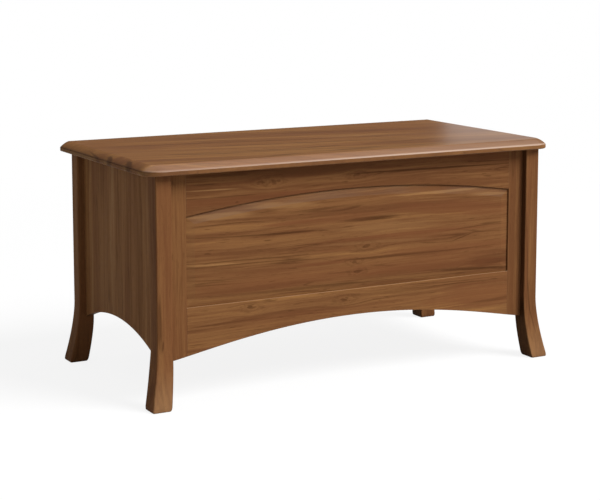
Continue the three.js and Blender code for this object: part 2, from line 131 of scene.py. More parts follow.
TOP_RAIL_MARKS = (
    ("dark", 0.215, 0.5022, 0.225, 0.0024, -0.008, 0.90),
    ("dark", 0.370, 0.5105, 0.085, 0.0014, -0.02, 0.55),
    ("dark", 0.430, 0.4907, 0.018, 0.0010, -0.02, 0.70),
    ("dark", 0.381, 0.4725, 0.012, 0.0022, -0.10, 0.45),
    ("dark", 0.063, 0.5000, 0.016, 0.0016, 0.15, 0.55),
    ("pale", -0.385, 0.4915, 0.065, 0.0016, -0.02, 0.65),
    ("dark", -0.400, 0.5049, 0.030, 0.0016, 0.0, 0.50),
    ("red", -0.330, 0.4640, 0.170, 0.0095, 0.0, 0.75),
    ("dark", -0.300, 0.4650, 0.200, 0.0100, 0.0, 0.22),
    ("dark", -0.340, 0.4737, 0.110, 0.0012, 0.0, 0.55),
    ("red", -0.140, 0.4700, 0.120, 0.0045, -0.03, 0.55),
    ("dark", -0.3174, 0.4592, 0.004, 0.0020, 0.0, 0.50),
    # painted shade: a dark band along the rail's top, under the lid's overhang
    ("dark", -0.360, 0.5260, 0.090, 0.0070, 0.0, 0.45),
)
BOTTOM_RAIL_MARKS = (
    ("dark", 0.195, 0.2180, 0.062, 0.0014, -0.03, 0.50),
    ("dark", 0.300, 0.2145, 0.150, 0.0012, 0.0, 0.45),
    ("dark", 0.300, 0.2085, 0.140, 0.0014, -0.01, 0.45),
    ("dark", -0.350, 0.1790, 0.100, 0.0014, 0.02, 0.30),
    ("dark", 0.120, 0.2080, 0.100, 0.0070, 0.0, 0.25),
    ("dark", -0.425, 0.1365, 0.022, 0.0012, 0.0, 0.45),
    ("red", 0.370, 0.1700, 0.150, 0.0260, 0.0, 0.65),
    ("dark", 0.400, 0.1560, 0.070, 0.0040, 0.05, 0.35),
)
LEFT_POST_MARKS = (
    ("dark", -0.5195, 0.1960, 0.056, 0.0048, 0.0, 0.62),
    ("dark", -0.5120, 0.1480, 0.010, 0.0018, -0.10, 0.60),
)
RIGHT_POST_MARKS = (
    # painted shade: a dark line down the post's inner edge, in the corner beside the stile
    ("dark", 0.4872, 0.3400, 0.330, 0.0012, 0.0, 0.90),
    ("dark", 0.495, 0.2810, 0.095, 0.0018, 0.045, 0.50),
    ("dark", 0.5015, 0.1600, 0.045, 0.0022, 0.077, 0.60),
    ("dark", 0.512, 0.0950, 0.040, 0.0020, 0.25, 0.50),
)
# The same on the lid, with y in place of z
LID_MARKS = (
    ("dark", -0.320, -0.115, 0.160, 0.0080, -0.13, 0.30),
    ("dark", -0.120, -0.160, 0.130, 0.0060, -0.12, 0.35),
    ("dark", 0.130, -0.075, 0.140, 0.0080, -0.18, 0.35),
    ("dark", 0.060, -0.195, 0.120, 0.0070, -0.18, 0.30),
    ("pale", 0.170, 0.020, 0.120, 0.0120, -0.18, 0.35),
    ("red", -0.440, 0.060, 0.090, 0.0300, -0.10, 0.40),
    ("dark", -0.385, -0.1190, 0.045, 0.0040, -0.22, 0.55),
    ("dark", -0.310, -0.1410, 0.070, 0.0055, -0.18, 0.60),
    ("dark", -0.160, -0.1340, 0.070, 0.0060, -0.13, 0.60),
    ("dark", -0.185, -0.2300, 0.045, 0.0055, 0.05, 0.60),
    ("dark", -0.030, -0.1390, 0.065, 0.0060, 0.03, 0.55),
    ("dark", 0.010, -0.2090, 0.090, 0.0060, 0.05, 0.60),
    ("dark", 0.230, -0.2150, 0.090, 0.0060, 0.02, 0.50),
    ("dark", 0.200, -0.1350, 0.090, 0.0050, 0.02, 0.45),
    ("red", -0.425, 0.0300, 0.040, 0.0080, -0.35, 0.45),
    ("red", -0.548, 0.0000, 0.011, 0.0280, 0.0, 0.45),
    ("red", -0.546, -0.1050, 0.014, 0.0420, 0.0, 0.65),
    ("red", -0.546, -0.2050, 0.014, 0.0260, 0.0, 0.55),
    ("dark", -0.5500, 0.0420, 0.0060, 0.0160, 7.0, 0.60),
    ("dark", -0.5490, -0.0500, 0.0095, 0.0140, 1.4, 0.75),
    ("dark", -0.5480, -0.1620, 0.0105, 0.0170, 1.8, 0.75),
)
# Knots on the front: x, z and size
TOP_RAIL_KNOTS = ((0.0015, 0.5010, 0.0075), (-0.256, 0.5010, 0.0075), (-0.219, 0.5000, 0.0075))
PANEL_KNOTS = ((0.0310, 0.3264, 0.0085), (-0.0043, 0.2909, 0.0070), (0.0053, 0.2665, 0.0070))
BOTTOM_RAIL_KNOTS = ((-0.030, 0.2020, 0.0085), (-0.282, 0.2090, 0.0070))

# Hinges and their screws
HINGE_PLACES = ("left", "middle", "right")
SCREWS_PER_LEAF = 3
SCREW_SIDES = 14  # straight runs in each half of a head's rim
SCREW_RADIUS = 0.0031
SCREW_FLAT_SHARE = 0.88  # of the radius, inside the rim's rounding
SCREW_PROUD = 0.0001
SCREW_SLOT_WIDTH = 0.0009
SCREW_SLOT_DEPTH = 0.00008
SCREW_SEAT = 0.00015  # from the height of the pins' axis to a leaf's face, with the lid shut
SCREW_SPREAD = 0.95
SCREW_INSET = 0.0075
SCREW_STAGGER = 0.004
SCREW_FIRST_TURN = 0.4
SCREW_TURN_STEP = 1.3  # from one screw's slot to the next one's

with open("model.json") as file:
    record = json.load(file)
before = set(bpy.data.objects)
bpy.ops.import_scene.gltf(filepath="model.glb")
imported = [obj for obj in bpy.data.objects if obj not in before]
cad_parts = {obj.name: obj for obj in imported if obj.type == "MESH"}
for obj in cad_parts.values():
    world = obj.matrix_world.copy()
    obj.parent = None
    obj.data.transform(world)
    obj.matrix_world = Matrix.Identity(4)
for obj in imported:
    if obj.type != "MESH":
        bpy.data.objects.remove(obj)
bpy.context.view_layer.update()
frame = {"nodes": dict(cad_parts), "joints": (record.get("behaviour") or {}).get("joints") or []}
nodes = frame["nodes"]


def colour(text):
    """A linear colour from its written sRGB hex form."""
    parts = [int(text[i:i + 2], 16) / 255 for i in (1, 3, 5)]
    return [p / 12.92 if p <= 0.04045 else ((p + 0.055) / 1.055) ** 2.4 for p in parts] + [1.0]


class Graph:
    """Adds nodes to a node tree. split and group give all of the new node's outputs, the others one."""

    def __init__(self, tree):
        self.tree = tree

    def fill(self, node, values):
        """Sets a node's inputs, each to a plain value or by a link from another node's output."""
        for key, value in values.items():
            if isinstance(value, bpy.types.NodeSocket):
                self.tree.links.new(value, node.inputs[key])
            else:
                node.inputs[key].default_value = value
        return node.outputs

    def add(self, kind, values=None, output=0, **settings):
        node = self.tree.nodes.new(kind)
        for key, value in settings.items():
            setattr(node, key, value)
        return self.fill(node, values or {})[output]

    def group(self, made, values):
        node = self.tree.nodes.new("ShaderNodeGroup")
        node.node_tree = made
        return self.fill(node, values)

    def math(self, operation, a, b=0.0, clamp=False):
        return self.add("ShaderNodeMath", {0: a, 1: b}, operation=operation, use_clamp=clamp)

    def chain(self, operation, first, others):
        made = first
        for other in others:
            made = self.math(operation, made, other)
        return made

    def plus(self, first, *others):
        return self.chain("ADD", first, others)

    def minus(self, first, *others):
        return self.chain("SUBTRACT", first, others)

    def times(self, first, *others):
        return self.chain("MULTIPLY", first, others)

    def vector(self, operation, a, b=(0, 0, 0)):
        output = "Value" if operation in ("LENGTH", "DOT_PRODUCT") else "Vector"
        return self.add("ShaderNodeVectorMath", {0: a, 1: b}, output, operation=operation)

    def scaled(self, vector, factor):
        return self.add("ShaderNodeVectorMath", {0: vector, "Scale": factor}, operation="SCALE")

    def combine(self, x=0.0, y=0.0, z=0.0):
        return self.add("ShaderNodeCombineXYZ", {0: x, 1: y, 2: z})

    def split(self, vector):
        return self.fill(self.tree.nodes.new("ShaderNodeSeparateXYZ"), {0: vector})

    def mix(self, share, a, b):
        return self.add("ShaderNodeMix", {0: share, 6: a, 7: b}, 2, data_type="RGBA")

    def range(self, value, low, high, start=0.0, end=1.0):
        """A smooth step from start to end, while the value goes from low to high."""
        values = {0: value, 1: low, 2: high, 3: start, 4: end}
        return self.add("ShaderNodeMapRange", values, interpolation_type="SMOOTHSTEP")

    def noise(self, place, stretch, detail=3.0, roughness=0.5, output=0):
        """Noise that changes about as many times a metre as stretch says, along each axis."""
        place = self.vector("MULTIPLY", place, stretch)
        values = {"Vector": place, "Scale": 1.0, "Detail": detail, "Roughness": roughness}
        return self.add("ShaderNodeTexNoise", values, output)


KINDS = {
    "float": "NodeSocketFloat",
    "vector": "NodeSocketVector",
    "colour": "NodeSocketColor",
}


def node_group(name, inputs, outputs, fill):
    """A shader node group with named sockets. fill(graph, inputs) gives its output values."""
    tree = bpy.data.node_groups.new(name, "ShaderNodeTree")
    for socket, kind in inputs.items():
        tree.interface.new_socket(socket, in_out="INPUT", socket_type=KINDS[kind])
    for socket, kind in outputs.items():
        tree.interface.new_socket(socket, in_out="OUTPUT", socket_type=KINDS[kind])
    entry = tree.nodes.new("NodeGroupInput")
    leave = tree.nodes.new("NodeGroupOutput")
    for socket, value in fill(Graph(tree), entry.outputs).items():
        tree.links.new(value, leave.inputs[socket])
    return tree


# Below, a STEP is where a smooth step starts and ends, SHARES are the same with the shares at both,
# and a STRETCH says how often a noise changes in a metre.
NOISE_MIDDLE = 0.5
GRAIN_WAVES = (((1.4, 3.0, 3.0), 0.034), ((5.0, 9.0, 9.0), 0.006))  # stretch, and sway in metres


def waves(graph, sockets):
    """Bends the grain a little, so its streaks run in slow waves instead of dead straight."""
    place = sockets["Position"]
    bends = []
    for stretch, sway in GRAIN_WAVES:
        noise = graph.noise(place, stretch, 1.0, output="Color")
        wave = graph.vector("SUBTRACT", noise, [NOISE_MIDDLE] * 3)
        bends.append(graph.vector("MULTIPLY", wave, (0.0, sway, sway)))
    return {"Position": graph.vector("ADD", place, graph.vector("ADD", *bends))}


# Walnut's noises: how often they change along and across the grain, their detail and roughness
WALNUT_NOISES = {
    "wide streaks": (1.5, 38.0, 1.0, 0.5),
    "middle streaks": (3.2, 130.0, 2.0, 0.6),
    "fine streaks": (11.0, 460.0, 2.0, 0.6),
    "broad bands": (0.9, 13.0, 1.0, 0.5),
    "red zones": (0.9, 17.0, 2.0, 0.5),
    "dark lines": (2.0, 48.0, 1.0, 0.5),
    "gaps in lines": (4.0, 36.0, 1.0, 0.5),
    "flecks": (26.0, 300.0, 1.0, 0.5),
    "pores": (55.0, 1900.0, 1.0, 0.5),
}
WIDE_SHARE, MIDDLE_SHARE, FINE_SHARE = 0.36, 0.44, 0.20  # of the streaks in the tone
BROWN_STEP = (0.18, 0.52)  # tones between which brown turns into the middle colour
LIGHT_STEP = (0.48, 0.86)  # tones between which the middle colour turns into the light one
RED_PLACE = (3.1, 1.7, 0.4)  # keeps the red zones' noise apart from the others
RED_STEP = (0.48, 0.68)
RED_SHARE = 0.42
LINE_PLACE = (0.7, 5.3, 2.9)
LINE_STEP = (0.022, 0.004)
GAP_STEP = (0.46, 0.62)
FLECK_STEP = (0.66, 0.76)
PORE_STEP = (0.60, 0.72)
PORE_SHARE = 0.35
END_GRAIN_SHARE = 0.75
WALNUT_ROUGHNESS = 0.54
TONE_GLOSS = 0.10  # how much smoother the light wood is
PORE_ROUGHNESS = 0.16
STREAK_HEIGHT = 0.35
PORE_DEPTH = 0.65


def figure(graph, sockets):
    """Walnut's colour from streaks of three widths, dark lines, flecks, reddish zones and pores."""
    place = graph.vector("ADD", sockets["Position"], sockets["Board"])

    def grain(name, offset=None):
        along, across, detail, roughness = WALNUT_NOISES[name]
        start = graph.vector("ADD", place, offset) if offset else place
        return graph.noise(start, (along, across, across), detail, roughness)

    fine = grain("fine streaks")
    tone = graph.plus(
        graph.times(grain("wide streaks"), WIDE_SHARE),
        graph.times(grain("middle streaks"), MIDDLE_SHARE),
        graph.times(fine, FINE_SHARE))
    tone = graph.times(graph.minus(tone, NOISE_MIDDLE), sockets["Contrast"])
    broad = graph.minus(grain("broad bands"), NOISE_MIDDLE)
    tone = graph.plus(tone, graph.times(broad, sockets["Broad"]), NOISE_MIDDLE)
    tone = graph.math("ADD", tone, sockets["Tone"], clamp=True)
    low = graph.mix(graph.range(tone, *BROWN_STEP), sockets["Brown"], sockets["Middle"])
    made = graph.mix(graph.range(tone, *LIGHT_STEP), low, sockets["Light"])
    red = graph.range(grain("red zones", RED_PLACE), *RED_STEP)
    made = graph.mix(graph.times(red, RED_SHARE), made, sockets["Red"])
    contour = graph.math("ABSOLUTE", graph.minus(grain("dark lines", LINE_PLACE), NOISE_MIDDLE))
    line = graph.times(graph.range(contour, *LINE_STEP), graph.range(grain("gaps in lines"), *GAP_STEP))
    flecks = graph.range(grain("flecks"), *FLECK_STEP)
    dark = graph.times(graph.math("MAXIMUM", line, flecks), sockets["Lines"])
    made = graph.mix(dark, made, sockets["Dark"])
    pores = graph.range(grain("pores"), *PORE_STEP)
    made = graph.mix(graph.times(pores, PORE_SHARE), made, sockets["Dark"])
    made = graph.mix(graph.times(sockets["End Grain"], END_GRAIN_SHARE), made, sockets["End"])
    rough = graph.minus(WALNUT_ROUGHNESS, graph.times(tone, TONE_GLOSS))
    return {
        "Color": made,
        "Roughness": graph.plus(rough, graph.times(pores, PORE_ROUGHNESS)),
        "Height": graph.minus(graph.times(fine, STREAK_HEIGHT), graph.times(pores, PORE_DEPTH)),
    }


MARK_STRETCH = (12.0, 200.0, 200.0)
MARK_RAGGED = 1.6
MARK_STEP = (1.45, 0.55)
MARK_DEPTH_STEP = (0.030, 0.022)  # how far from its face a mark ends


def mark(graph, sockets):
    """A long soft spot on a face, such as a dark streak or a fleck, with a ragged outline."""
    away = graph.split(graph.vector("SUBTRACT", sockets["Position"], sockets["Place"]))
    rise = graph.minus(away[2], graph.times(away[0], sockets["Slope"]))
    along = graph.math("DIVIDE", away[0], sockets["Length"])
    across = graph.math("DIVIDE", rise, sockets["Width"])
    ragged = graph.noise(sockets["Position"], MARK_STRETCH, 2.0, 0.6)
    ragged = graph.times(graph.minus(ragged, NOISE_MIDDLE), MARK_RAGGED)
    distance = graph.plus(graph.vector("LENGTH", graph.combine(along, across)), ragged)
    near = graph.range(graph.math("ABSOLUTE", away[1]), *MARK_DEPTH_STEP)
    return {"Mask": graph.times(graph.range(distance, *MARK_STEP), near)}


KNOT_LENGTH = 3.0  # times its height
KNOT_REACH = 3.4  # how many times its size it parts the grain
KNOT_PULL = 0.88
KNOT_STRETCH = (90.0, 260.0, 260.0)
KNOT_RAGGED = 1.8
HEART_STEP = (0.65, 0.25)
RING_STEPS = ((0.9, 1.15), (1.6, 1.25))
RING_SHARE = 0.45


def knot(graph, sockets):
    """Parts the grain round a small knot, and gives the knot's own dark heart."""
    size = sockets["Size"]
    away = graph.vector("SUBTRACT", sockets["Position"], sockets["Place"])
    sizes = graph.combine(graph.times(size, KNOT_LENGTH), size, size)
    distance = graph.vector("LENGTH", graph.vector("DIVIDE", away, sizes))
    pull = graph.range(distance, KNOT_REACH, 0.0, 0.0, KNOT_PULL)
    moved = graph.vector("MULTIPLY", graph.scaled(away, pull), (0.0, -1.0, -1.0))
    ragged = graph.noise(sockets["Position"], KNOT_STRETCH, 2.0)
    ragged = graph.plus(distance, graph.times(graph.minus(ragged, NOISE_MIDDLE), KNOT_RAGGED))
    ring = graph.times(*[graph.range(ragged, *step) for step in RING_STEPS])
    heart = graph.math("MAXIMUM", graph.range(ragged, *HEART_STEP), graph.times(ring, RING_SHARE))
    return {"Position": graph.vector("ADD", sockets["Position"], moved), "Heart": heart}


GLUE_LINE = 0.0006
BOARD_SHIFTS = (1.37, 0.31)  # from one board's figure to the next one's, along and across
BOARD_TONES = 0.16


def glued_boards(graph, sockets):
    """Parts a glued-up panel into boards across the grain, each with its own figure and tone."""
    across = graph.math("DIVIDE", sockets["Across"], sockets["Width"])
    number = graph.math("FLOOR", across)
    within = graph.math("ABSOLUTE", graph.minus(graph.math("FRACT", across), 0.5))
    tone = graph.add("ShaderNodeTexWhiteNoise", {"W": number}, 0, noise_dimensions="1D")
    line = graph.math("DIVIDE", GLUE_LINE, sockets["Width"])
    return {
        "Shift": graph.combine(*[graph.times(number, shift) for shift in BOARD_SHIFTS]),
        "Tone": graph.times(graph.minus(tone, NOISE_MIDDLE), BOARD_TONES),
        "Joint": graph.range(within, graph.minus(0.5, line), 0.5),
    }


ARRIS_STEP = (0.01, 0.20)  # of the bend between the rounded and the plain normal
ARRIS_SAMPLES = 6


def worn_edges(graph, sockets):
    """Rounds sharp arrises, and says where they are, from the rounded normal."""
    rounded = graph.add("ShaderNodeBevel", {"Radius": sockets["Radius"]}, samples=ARRIS_SAMPLES)
    plain = graph.add("ShaderNodeNewGeometry", output="Normal")
    bend = graph.minus(1.0, graph.vector("DOT_PRODUCT", rounded, plain))
    return {"Mask": graph.range(bend, *ARRIS_STEP), "Normal": rounded}


BRUSHING_STRETCH = (160.0, 5200.0, 5200.0)
CLOUD_STRETCH = (70.0, 70.0, 70.0)
DULL_STEP = (0.42, 0.66)
BRASS_ROUGHNESS = 0.26
DULL_ROUGHNESS = 0.20
BRUSHING_ROUGHNESS = 0.25


def brushed_metal(graph, sockets):
    """Fine brushing along X over soft cloudy dulling."""
    brushing = graph.noise(sockets["Position"], BRUSHING_STRETCH, 2.0, 0.6)
    clouds = graph.noise(sockets["Position"], CLOUD_STRETCH, 4.0, 0.6)
    dull = graph.range(clouds, *DULL_STEP)
    rough = graph.plus(graph.times(dull, DULL_ROUGHNESS), graph.times(brushing, BRUSHING_ROUGHNESS))
    return {
        "Color": graph.mix(dull, sockets["Bright"], sockets["Dull"]),
        "Roughness": graph.plus(rough, BRASS_ROUGHNESS),
        "Height": brushing,
    }


grain_waves = node_group("grain waves", {"Position": "vector"}, {"Position": "vector"}, waves)
walnut_figure = node_group(
    "walnut figure",
    {
        "Position": "vector", "Board": "vector", "Tone": "float", "Contrast": "float",
        "Lines": "float", "Broad": "float", "End Grain": "float", "Brown": "colour",
        "Middle": "colour", "Light": "colour", "Red": "colour", "Dark": "colour", "End": "colour",
    },
    {"Color": "colour", "Roughness": "float", "Height": "float"},
    figure,
)
grain_mark = node_group(
    "grain mark",
    {"Position": "vector", "Place": "vector", "Length": "float", "Width": "float", "Slope": "float"},
    {"Mask": "float"},
    mark,
)
grain_knot = node_group(
    "grain knot",
    {"Position": "vector", "Place": "vector", "Size": "float"},
    {"Position": "vector", "Heart": "float"},
    knot,
)
board_joints = node_group(
    "glued boards",
    {"Across": "float", "Width": "float"},
    {"Shift": "vector", "Tone": "float", "Joint": "float"},
    glued_boards,
)
arris_wear = node_group(
    "worn edges", {"Radius": "float"}, {"Mask": "float", "Normal": "vector"}, worn_edges)
brass_brushing = node_group(
    "brushed metal",
    {"Position": "vector", "Bright": "colour", "Dull": "colour"},
    {"Color": "colour", "Roughness": "float", "Height": "float"},
    brushed_metal,
)

# How much slower the figure changes into the board than over its face
FLAT_ON_FRONT = (1.0, 0.35, 1.0)
FLAT_ON_TOP = (1.0, 1.0, 0.35)

# Turns that bring the grain onto the figure's X
GRAIN_X = (0.0, 0.0, 0.0)
GRAIN_Y = (0.0, 0.0, -math.pi / 2)
GRAIN_Z = (0.0, math.pi / 2, 0.0)
LID_LEAN = math.radians(9)  # how far the lid's grain runs off its length
LAID_FLAT = (math.pi / 2, 0.0, 0.0)  # brings marks on the top onto those of the front


def new_material(name):
    made = bpy.data.materials.new(name)
    made.use_nodes = True
    tree = made.node_tree
    tree.nodes.clear()
    shader = tree.nodes.new("ShaderNodeBsdfPrincipled")
    tree.links.new(shader.outputs[0], tree.nodes.new("ShaderNodeOutputMaterial").inputs["Surface"])
    return made, Graph(tree), shader


# Touches. Each takes a board's shade, and gives it back changed on some of its faces.
LID_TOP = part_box("lid_board")[1].z
LID_BEVEL_DROP = 0.0135
LID_ARRIS = LID_TOP - LID_BEVEL_DROP  # the height of the bevel's lower edge
BAND_STEP = (-0.75, -0.92)  # of the normal's y, from the front bevel to the front band
BAND_SHARE = 0.5
FRONT_STEP = (-0.2, -0.45)  # of the normal's y, from the top to the front bevel
BEVEL_SHARES = (-0.3, 0.5, 0.3, 0.7)  # along x
HIGHLIGHT_LOW_STEP = (LID_ARRIS - 0.0006, LID_ARRIS + 0.0003)  # of height, as the three steps below
HIGHLIGHT_HIGH_STEP = (LID_ARRIS + 0.0040, LID_ARRIS + 0.0016)
END_DARK_LOW_STEP = (LID_ARRIS - 0.0030, LID_ARRIS - 0.0010)
END_DARK_HIGH_STEP = (LID_ARRIS + 0.0024, LID_ARRIS + 0.0010)
HIGHLIGHT_SHARES = (-0.50, 0.15, 0.22, 0.57)  # along x
END_DARK_SHARES = (-0.3, -0.5, 0.0, 0.55)  # of the normal's x, at the left end


def lid_edges(graph, here, facing, shade):
    """The lid's front band and bevel, a painted highlight along the arris between them, and a dark line
    round the left end's arris.
    """
    x, _, z = graph.split(here)
    end, across, _ = graph.split(facing)
    band = graph.range(across, *BAND_STEP)
    shade = graph.mix(graph.times(band, BAND_SHARE), shade, colour(LID_BAND))
    front = graph.range(across, *FRONT_STEP)
    bevel = graph.times(front, graph.minus(1.0, band), graph.range(x, *BEVEL_SHARES))
    shade = graph.mix(bevel, shade, colour(LID_BEVEL))
    # painted highlight: a pale band along the arris between bevel and band, paler towards the right
    pale_arris = graph.times(
        graph.range(z, *HIGHLIGHT_LOW_STEP), graph.range(z, *HIGHLIGHT_HIGH_STEP),
        graph.times(front, graph.range(x, *HIGHLIGHT_SHARES)))
    shade = graph.mix(pale_arris, shade, colour(WALNUT_PAINTED_HIGHLIGHT))
    # a dark line round the arris at the lid's left end
    left_end_dark = graph.times(
        graph.range(z, *END_DARK_LOW_STEP), graph.range(z, *END_DARK_HIGH_STEP),
        graph.range(end, *END_DARK_SHARES))
    return graph.mix(left_end_dark, shade, colour(WALNUT_DARK))


PANEL_SHEEN_SHARES = (0.05, 0.13, 0.0, 0.22)  # of the normal's z
PANEL_SHEEN_STRETCH = (7.0, 7.0, 40.0)
PANEL_SHEEN_STEP = (0.20, 0.62)
LIT_END_SHARES = (-0.03, -0.09, 0.0, 0.088)  # of the normal's x


def panel_painted_sheen(graph, here, facing, shade):
    """A painted sheen, grey in clouds, on the panel's upward-facing upper bevel, and painted light,
    paler wood, on the bevel of its left end.
    """
    end, _, up = graph.split(facing)
    clouds = graph.range(graph.noise(here, PANEL_SHEEN_STRETCH, 2.0), *PANEL_SHEEN_STEP)
    shade = graph.mix(graph.times(graph.range(up, *PANEL_SHEEN_SHARES), clouds), shade, colour(WALNUT_PAINTED_SHEEN))
    return graph.mix(graph.range(end, *LIT_END_SHARES), shade, colour(WALNUT_PALE))


LEDGE_SHARES = (0.25, 0.80, 0.0, 0.50)  # of the normal's z


def painted_light_ledge(graph, here, facing, shade):
    """Painted light on the bottom rail's narrow upward-facing ledge under the panel."""
    return graph.mix(graph.range(graph.split(facing)[2], *LEDGE_SHARES), shade, colour(WALNUT_WORN_AND_LIT))


FOOT_LIGHT_TOP = 0.12  # the height below which it grows
FOOT_FRONT_STEP = (-0.3, -0.7)  # of the normal's y


def painted_light_foot(share):
    """Painted light: paler wood low on a foot's front, whose flare faces up towards the light."""
    def touch(graph, here, facing, shade):
        low = graph.range(graph.split(here)[2], FOOT_LIGHT_TOP, 0.0, 0.0, share)
        low = graph.times(low, graph.range(graph.split(facing)[1], *FOOT_FRONT_STEP))
        return graph.mix(low, shade, colour(WALNUT_WORN_AND_LIT))
    return touch


INNER_SHARES = (0.3, 0.7, 0.0, 0.60)  # of the normal's x
INNER_HEIGHT_STEP = (0.165, 0.130)


def painted_shade_inside(way):
    """Painted shade on a foot's inner face, under the chest. way is 1 where that face looks to the
    right, -1 to the left.
    """
    def touch(graph, here, facing, shade):
        under = graph.range(graph.times(graph.split(facing)[0], way), *INNER_SHARES)
        under = graph.times(under, graph.range(graph.split(here)[2], *INNER_HEIGHT_STEP))
        return graph.mix(under, shade, colour(WALNUT_SHADE_UNDER))
    return touch


MARK_SHADES = {"dark": WALNUT_DARK, "pale": WALNUT_PALE, "red": WALNUT_RED}
BOARD_PLACES = (1.91, 0.47, 0.83)  # from one board number's figure to the next one's
END_GRAIN_STEP = (0.55, 0.95)  # of the normal along the grain
SLOPE_STEPS = ((0.2, 0.4), (0.8, 0.6))  # of the same, at a bevelled end
HEART_SHARE = 0.5
JOINT_SHARE = 0.5
SCUFF_STRETCH = (38.0, 38.0, 38.0)
SCUFF_STEP = (0.38, 0.70)
SHINE_STEP = (0.3, 0.7)  # of the normal's z
GRAIN_DEPTH = 0.00008
GRAIN_STRENGTH = 0.6


def along_grain(grain, x, y, z):
    """A place in the chest's frame, in the figure's own axes."""
    if grain == GRAIN_Z:
        return (z, y, -x)
    if grain == GRAIN_Y:
        return (y, -x, z)
    return (x, y, z)


def walnut(name, grain, board, tone=0.0, contrast=2.4, lines=0.5, broad=0.3,
           colours=(WALNUT_BROWN, WALNUT_MIDDLE, WALNUT_LIGHT), end_colour=WALNUT_END,
           marks=(), knots=(), face=0.0, on_top=False, lean=0.0, face_depth=None, boards=None,
           painted_light_end_bevels=0.0, touches=(), edges=None, pale_arris=0.55, arris_shine=0.6, shine=0.0,
           shine_roughness=CASE_SHINE_ROUGHNESS):
    """One board's walnut.

    board is any number, and gives the board a figure of its own. face is where the marks and knots
    lie: a y, or with on_top a z. boards is the axis across a glued-up panel, and its boards' width.
    rubbed is how much the arrises wear. touches come before that wear, and edges after it.
    """
    made, graph, shader = new_material(name)
    here = graph.add("ShaderNodeTexCoord", output="Object")
    facing = graph.add("ShaderNodeTexCoord", output="Normal")
    turned = graph.add("ShaderNodeMapping", {"Vector": here, "Rotation": (*grain[:2], grain[2] + lean)})
    place = turned
    hearts = []
    for x, z, size in knots:
        centre = along_grain(grain, x, face, z)
        parted = graph.group(grain_knot, {"Position": place, "Place": centre, "Size": size})
        place = parted["Position"]
        hearts.append(parted["Heart"])
    place = graph.group(grain_waves, {"Position": place})["Position"]
    if face_depth:
        place = graph.vector("MULTIPLY", place, face_depth)
    shift = [board * step for step in BOARD_PLACES]
    joint = None
    if boards:
        axis, width = boards
        parts = graph.group(board_joints, {"Across": graph.split(here)[axis], "Width": width})
        shift = graph.vector("ADD", parts["Shift"], shift)
        tone = graph.plus(parts["Tone"], tone)
        joint = parts["Joint"]
    lengthways = {GRAIN_X: 0, GRAIN_Y: 1, GRAIN_Z: 2}[grain]
    end = graph.math("ABSOLUTE", graph.split(facing)[lengthways])
    brown, middle, light = [colour(text) for text in colours]
    wood = graph.group(walnut_figure, {
        "Position": place, "Board": shift, "Tone": tone, "Contrast": contrast, "Lines": lines,
        "Broad": broad, "End Grain": graph.range(end, *END_GRAIN_STEP), "Brown": brown,
        "Middle": middle, "Light": light, "Red": colour(WALNUT_RED), "Dark": colour(WALNUT_DARK),
        "End": colour(end_colour),
    })
    shade = wood["Color"]
    # painted light: the slopes of the end bevels drawn towards the light colour
    if painted_light_end_bevels:
        sloped = graph.times(*[graph.range(end, *step) for step in SLOPE_STEPS])
        shade = graph.mix(graph.times(sloped, painted_light_end_bevels), shade, light)
    spread = turned
    if on_top:
        spread = graph.add("ShaderNodeMapping", {"Vector": here, "Rotation": LAID_FLAT})
    for kind, x, z, length, width, slope, strength in marks:
        centre = (x, -face, z) if on_top else along_grain(grain, x, face, z)
        spot = graph.group(grain_mark, {
            "Position": spread, "Place": centre, "Length": length, "Width": width, "Slope": slope,
        })["Mask"]
        shade = graph.mix(graph.times(spot, strength), shade, colour(MARK_SHADES[kind]))
    for heart in hearts:
        shade = graph.mix(graph.times(heart, HEART_SHARE), shade, colour(WALNUT_DARK))
    if joint:
        shade = graph.mix(graph.times(joint, JOINT_SHARE), shade, colour(WALNUT_DARK))
    for touch in touches:
        shade = touch(graph, here, facing, shade)
    worn = graph.group(arris_wear, {"Radius": ARRIS_RADIUS})
    scuffs = graph.range(graph.noise(here, SCUFF_STRETCH, 3.0), *SCUFF_STEP)
    wear = graph.times(worn["Mask"], graph.times(scuffs, pale_arris))
    shade = graph.mix(wear, shade, colour(WALNUT_WORN_AND_LIT))
    if edges:
        shade = edges(graph, here, facing, shade)
    polished = graph.times(worn["Mask"], arris_shine)
    if shine:
        upward = graph.range(graph.split(facing)[2], *SHINE_STEP, 0.0, shine)
        polished = graph.math("MAXIMUM", polished, upward)
    bump = graph.add("ShaderNodeBump", {
        "Height": wood["Height"], "Distance": GRAIN_DEPTH, "Strength": GRAIN_STRENGTH,
        "Normal": worn["Normal"],
    })
    graph.fill(shader, {
        "Base Color": shade, "Roughness": wood["Roughness"], "Coat Weight": polished,
        "Coat Roughness": shine_roughness, "Specular IOR Level": WOOD_GLOSS, "Normal": bump,
    })
    return made


BRASS_ARRIS_RADIUS = 0.0004
BRASS_WEAR = 0.4
BRUSHING_DEPTH = 0.00002
BRUSHING_STRENGTH = 0.5


def brass(name):
    made, graph, shader = new_material(name)
    here = graph.add("ShaderNodeTexCoord", output="Object")
    metal = graph.group(brass_brushing, {
        "Position": here, "Bright": colour(BRASS), "Dull": colour(BRASS_DULL)})
    worn = graph.group(arris_wear, {"Radius": BRASS_ARRIS_RADIUS})
    bump = graph.add("ShaderNodeBump", {
        "Height": metal["Height"], "Distance": BRUSHING_DEPTH, "Strength": BRUSHING_STRENGTH,
        "Normal": worn["Normal"],
    })
    wear = graph.times(worn["Mask"], BRASS_WEAR)
    graph.fill(shader, {
        "Base Color": graph.mix(wear, metal["Color"], colour(BRASS_WORN)),
        "Roughness": metal["Roughness"], "Metallic": 1.0, "Normal": bump,
    })
    return made


def dress(material, *names):
    for name in names:
        mesh = nodes[name].data
        mesh.materials.clear()
        mesh.materials.append(material)


